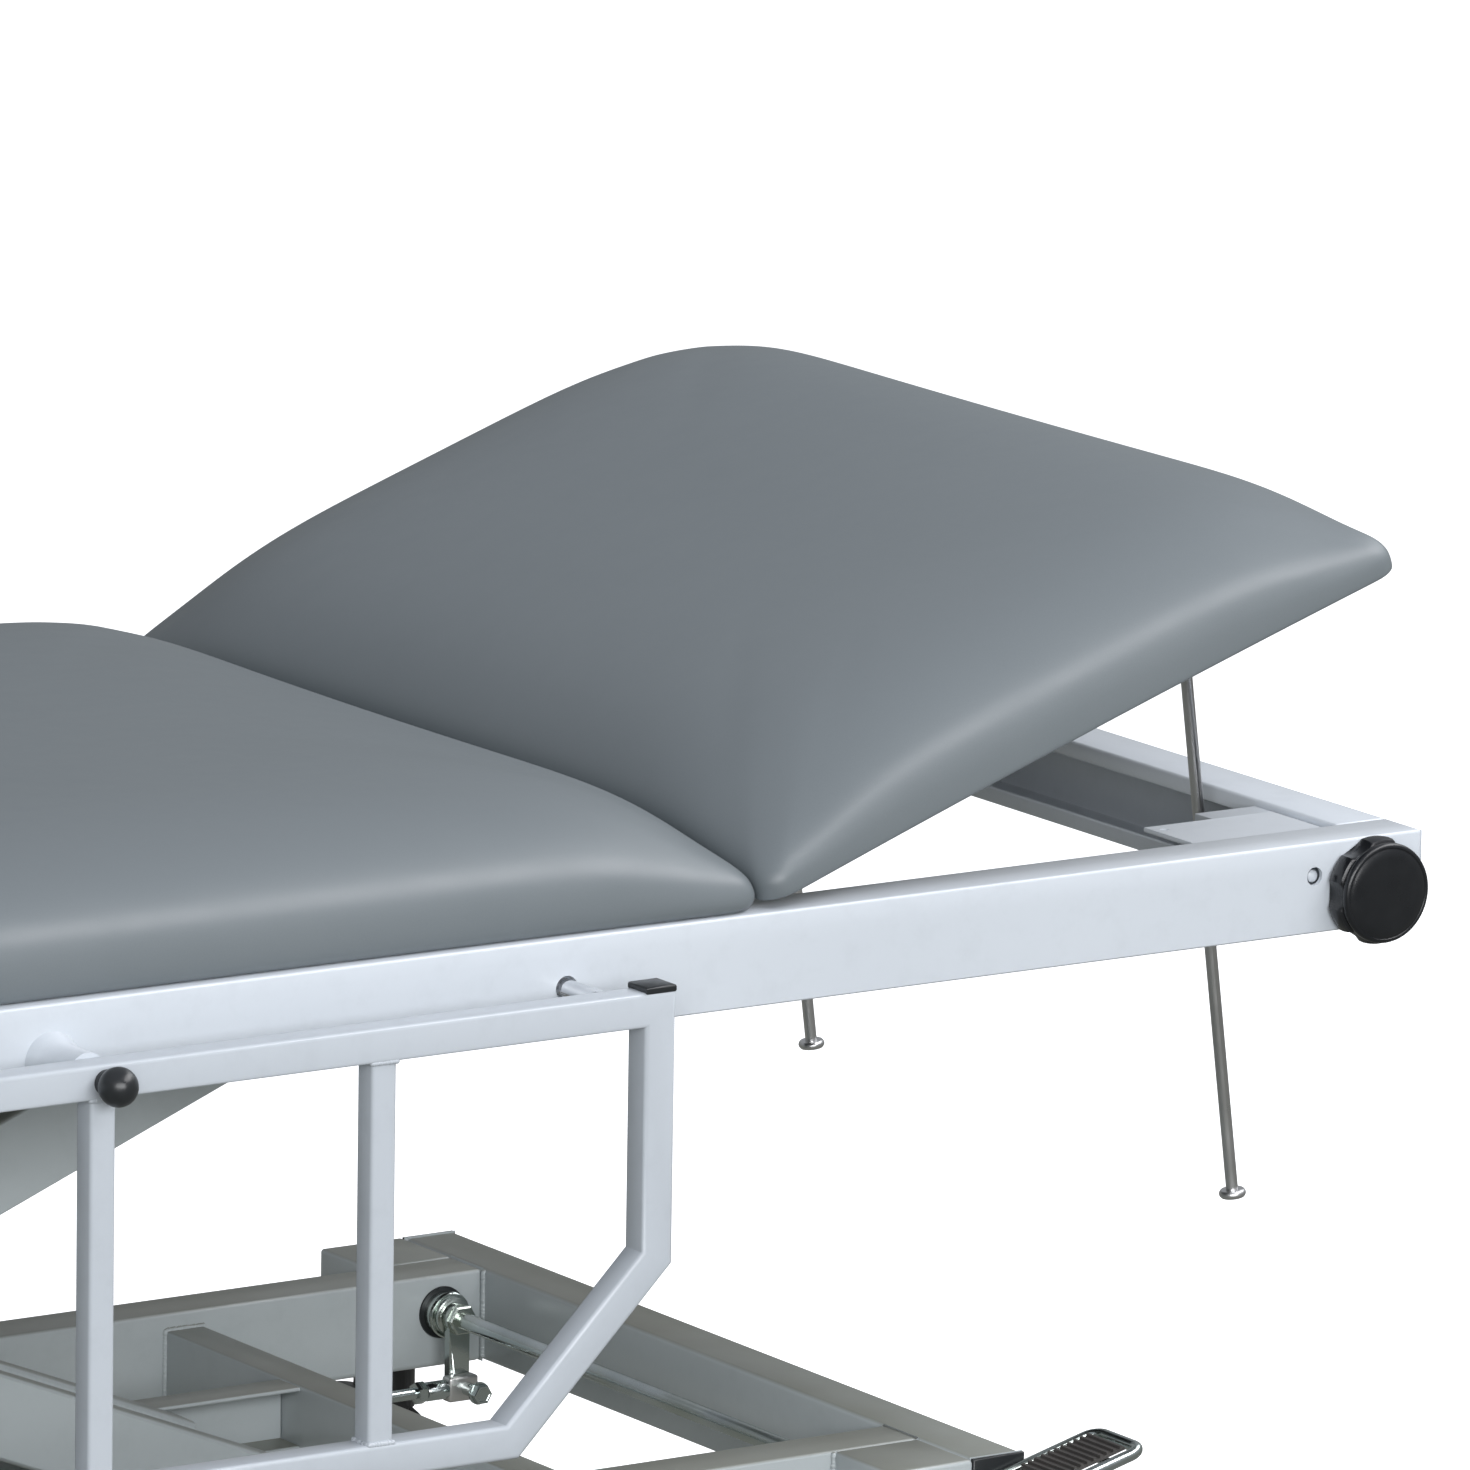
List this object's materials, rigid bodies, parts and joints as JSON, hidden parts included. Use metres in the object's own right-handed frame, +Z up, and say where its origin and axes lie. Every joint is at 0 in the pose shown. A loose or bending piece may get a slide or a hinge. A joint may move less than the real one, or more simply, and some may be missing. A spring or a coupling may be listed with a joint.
{
  "type": "patient transport stretcher",
  "caption": "Height-adjustable patient couch on castors with scissor lift, tilting head section on two clamp rods, swing-up side guards and a linked foot brake.",
  "frame": {"origin": "centre of the bounding box on the floor", "axes": "+X along the couch towards the head end, -Y towards the near side of the picture, +Z up"},
  "size_m": [2.06, 0.983, 0.8246],
  "materials": {
    "castor_black": "satin",
    "tyre": "matte",
    "hub": "satin",
    "black_plastic": "satin",
    "vinyl": "satin",
    "board": "matte",
    "dark_steel": "satin",
    "steel": "satin",
    "zinc": "satin",
    "chrome": "polished",
    "dark_paint": "gloss",
    "base_paint": "satin",
    "frame_paint": "satin"
  },
  "bodies": {
    "base": {"base_rail_near": "base_paint", "base_rail_far": "base_paint", "base_end_rails": "base_paint", "base_cross_members": "base_paint", "castor_housings": "base_paint", "base_end_plugs": "black_plastic", "lower_tracks": "base_paint", "brake_collars": "zinc", "pump_cylinder": "dark_paint"},
    "outer_frame": {"outer_arms": "base_paint", "outer_cross_tube": "base_paint", "centre_shaft": "steel"},
    "upper_roller": {"upper_roller_axle": "steel"},
    "inner_frame": {"inner_arms": "base_paint", "inner_cross_tubes": "base_paint"},
    "lower_roller": {"lower_roller_axle": "steel"},
    "ram_barrel": {"ram_barrel": "dark_paint"},
    "ram_rod": {"ram_rod": "steel"},
    "top_frame": {"side_rail_near": "frame_paint", "side_rail_far": "frame_paint", "end_rails": "frame_paint", "top_cross_members": "frame_paint", "upper_tracks": "frame_paint", "rod_clamps": "frame_paint", "guard_bosses": "frame_paint", "buffer_pins": "chrome", "head_hinges": "steel", "seat_board": "board", "seat_cushion": "vinyl"},
    "head_section": {"head_board": "board", "head_rod_lugs": "steel", "head_cushion": "vinyl"},
    "brake_head": {"brake_bar_head": "zinc", "brake_pedal": "black_plastic"},
    "brake_foot": {"brake_bar_foot": "zinc"},
    "brake_link": {"brake_link": "zinc"},
    "support_rod_near": {"support_rod_near": "dark_steel"},
    "trunnion_near": {"trunnion_near": "steel"},
    "star_knob_near": {"star_knob_near": "black_plastic"},
    "guard_near": {"guard_near": "frame_paint", "guard_caps_near": "black_plastic"},
    "release_near": {"ball_knob_near": "black_plastic"},
    "support_rod_far": {"support_rod_far": "dark_steel"},
    "trunnion_far": {"trunnion_far": "steel"},
    "star_knob_far": {"star_knob_far": "black_plastic"},
    "guard_far": {"guard_far": "frame_paint", "guard_caps_far": "black_plastic"},
    "release_far": {"ball_knob_far": "black_plastic"},
    "castor_swivel_1": {"castor_fork_1": "castor_black"},
    "castor_wheel_1": {"castor_tyre_1": "tyre", "castor_hub_1": "hub"},
    "castor_swivel_2": {"castor_fork_2": "castor_black"},
    "castor_wheel_2": {"castor_tyre_2": "tyre", "castor_hub_2": "hub"},
    "castor_swivel_3": {"castor_fork_3": "castor_black"},
    "castor_wheel_3": {"castor_tyre_3": "tyre", "castor_hub_3": "hub"},
    "castor_swivel_4": {"castor_fork_4": "castor_black"},
    "castor_wheel_4": {"castor_tyre_4": "tyre", "castor_hub_4": "hub"}
  },
  "joints": [
    {"name": "lift", "type": "hinge", "parent": "base", "child": "outer_frame", "pos_m": [-0.65, 0, 0.188], "axis": [0, -1, 0], "range_deg": [-9.8, 16.3]},
    {"name": "scissor_cross", "type": "hinge", "parent": "outer_frame", "child": "inner_frame", "pos_m": [-0.1531, 0, 0.38575], "axis": [0, -1, 0], "range_deg": [-32.7, 19.7]},
    {"name": "top_frame_pivot", "type": "hinge", "parent": "inner_frame", "child": "top_frame", "pos_m": [-0.65, 0, 0.5835], "axis": [0, -1, 0], "range_deg": [-9.9, 16.4]},
    {"name": "upper_roller_spin", "type": "hinge", "parent": "outer_frame", "child": "upper_roller", "pos_m": [0.34379, 0, 0.5835], "axis": [0, -1, 0], "continuous": true},
    {"name": "lower_roller_spin", "type": "hinge", "parent": "inner_frame", "child": "lower_roller", "pos_m": [0.34379, 0, 0.188], "axis": [0, -1, 0], "continuous": true},
    {"name": "ram_barrel_tilt", "type": "hinge", "parent": "base", "child": "ram_barrel", "pos_m": [-0.35, 0, 0.188], "axis": [0, -1, 0], "range_deg": [-5, 8.3]},
    {"name": "ram_rod_tilt", "type": "hinge", "parent": "outer_frame", "child": "ram_rod", "pos_m": [-0.46407, 0, 0.42344], "axis": [0, -1, 0], "range_deg": [-8.3, 5]},
    {"name": "head_tilt", "type": "hinge", "parent": "top_frame", "child": "head_section", "pos_m": [0.52, 0, 0.601], "axis": [0, -1, 0], "range_deg": [-19.4, 22]},
    {"name": "support_rod_near_tilt", "type": "hinge", "parent": "head_section", "child": "support_rod_near", "pos_m": [0.93973, -0.25, 0.74881], "axis": [0, -1, 0], "range_deg": [-11.1, 9.8]},
    {"name": "trunnion_near_tilt", "type": "hinge", "parent": "top_frame", "child": "trunnion_near", "pos_m": [0.96369, -0.25, 0.56686], "axis": [0, -1, 0], "range_deg": [-9.8, 11.1]},
    {"name": "star_knob_near_turn", "type": "hinge", "parent": "top_frame", "child": "star_knob_near", "pos_m": [0.988, -0.4, 0.581], "axis": [0, -1, 0], "range_deg": [0, 270]},
    {"name": "guard_near_swing", "type": "hinge", "parent": "top_frame", "child": "guard_near", "pos_m": [0, -0.453, 0.579], "axis": [0, -1, 0], "range_deg": [0, 180]},
    {"name": "release_near_pull", "type": "slide", "parent": "guard_near", "child": "release_near", "axis": [0, -1, 0], "range_m": [0, 0.01], "stiffness_N_per_m": 800, "springref_m": -0.005},
    {"name": "support_rod_far_tilt", "type": "hinge", "parent": "head_section", "child": "support_rod_far", "pos_m": [0.93973, 0.25, 0.74881], "axis": [0, -1, 0], "range_deg": [-11.1, 9.8]},
    {"name": "trunnion_far_tilt", "type": "hinge", "parent": "top_frame", "child": "trunnion_far", "pos_m": [0.96369, 0.25, 0.56686], "axis": [0, -1, 0], "range_deg": [-9.8, 11.1]},
    {"name": "star_knob_far_turn", "type": "hinge", "parent": "top_frame", "child": "star_knob_far", "pos_m": [0.988, 0.4, 0.581], "axis": [0, 1, 0], "range_deg": [0, 270]},
    {"name": "guard_far_swing", "type": "hinge", "parent": "top_frame", "child": "guard_far", "pos_m": [0, 0.453, 0.579], "axis": [0, 1, 0], "range_deg": [0, 180]},
    {"name": "release_far_pull", "type": "slide", "parent": "guard_far", "child": "release_far", "axis": [0, 1, 0], "range_m": [0, 0.01], "stiffness_N_per_m": 800, "springref_m": -0.005},
    {"name": "castor_1_swivel", "type": "hinge", "parent": "base", "child": "castor_swivel_1", "pos_m": [-0.691, -0.315, 0.15], "axis": [0, 0, 1], "continuous": true},
    {"name": "castor_1_roll", "type": "hinge", "parent": "castor_swivel_1", "child": "castor_wheel_1", "pos_m": [-0.723, -0.315, 0.0625], "axis": [0, 1, 0], "continuous": true},
    {"name": "castor_2_swivel", "type": "hinge", "parent": "base", "child": "castor_swivel_2", "pos_m": [-0.691, 0.315, 0.15], "axis": [0, 0, 1], "continuous": true},
    {"name": "castor_2_roll", "type": "hinge", "parent": "castor_swivel_2", "child": "castor_wheel_2", "pos_m": [-0.723, 0.315, 0.0625], "axis": [0, 1, 0], "continuous": true},
    {"name": "castor_3_swivel", "type": "hinge", "parent": "base", "child": "castor_swivel_3", "pos_m": [0.691, -0.315, 0.15], "axis": [0, 0, 1], "continuous": true},
    {"name": "castor_3_roll", "type": "hinge", "parent": "castor_swivel_3", "child": "castor_wheel_3", "pos_m": [0.659, -0.315, 0.0625], "axis": [0, 1, 0], "continuous": true},
    {"name": "castor_4_swivel", "type": "hinge", "parent": "base", "child": "castor_swivel_4", "pos_m": [0.691, 0.315, 0.15], "axis": [0, 0, 1], "continuous": true},
    {"name": "castor_4_roll", "type": "hinge", "parent": "castor_swivel_4", "child": "castor_wheel_4", "pos_m": [0.659, 0.315, 0.0625], "axis": [0, 1, 0], "continuous": true},
    {"name": "brake_pedal_press", "type": "hinge", "parent": "base", "child": "brake_head", "pos_m": [0.691, 0, 0.196], "axis": [0, 1, 0], "range_deg": [-10, 10]},
    {"name": "brake_foot_turn", "type": "hinge", "parent": "base", "child": "brake_foot", "pos_m": [-0.691, 0, 0.196], "axis": [0, 1, 0], "range_deg": [-10.1, 10.1]},
    {"name": "brake_link_swing", "type": "hinge", "parent": "brake_head", "child": "brake_link", "pos_m": [0.691, 0.2155, 0.15], "axis": [0, 1, 0], "range_deg": [-10.1, 10.1]}
  ],
  "couplings": [
    {"joint": "scissor_cross", "follows": "lift", "ratio": -2},
    {"joint": "top_frame_pivot", "follows": "lift", "ratio": 1},
    {"joint": "ram_barrel_tilt", "follows": "lift", "ratio": 0.5},
    {"joint": "ram_rod_tilt", "follows": "lift", "ratio": -0.5},
    {"joint": "support_rod_near_tilt", "follows": "head_tilt", "ratio": -0.5},
    {"joint": "trunnion_near_tilt", "follows": "head_tilt", "ratio": 0.5},
    {"joint": "support_rod_far_tilt", "follows": "head_tilt", "ratio": -0.5},
    {"joint": "trunnion_far_tilt", "follows": "head_tilt", "ratio": 0.5},
    {"joint": "brake_foot_turn", "follows": "brake_pedal_press", "ratio": 1},
    {"joint": "brake_link_swing", "follows": "brake_pedal_press", "ratio": -1}
  ]
}
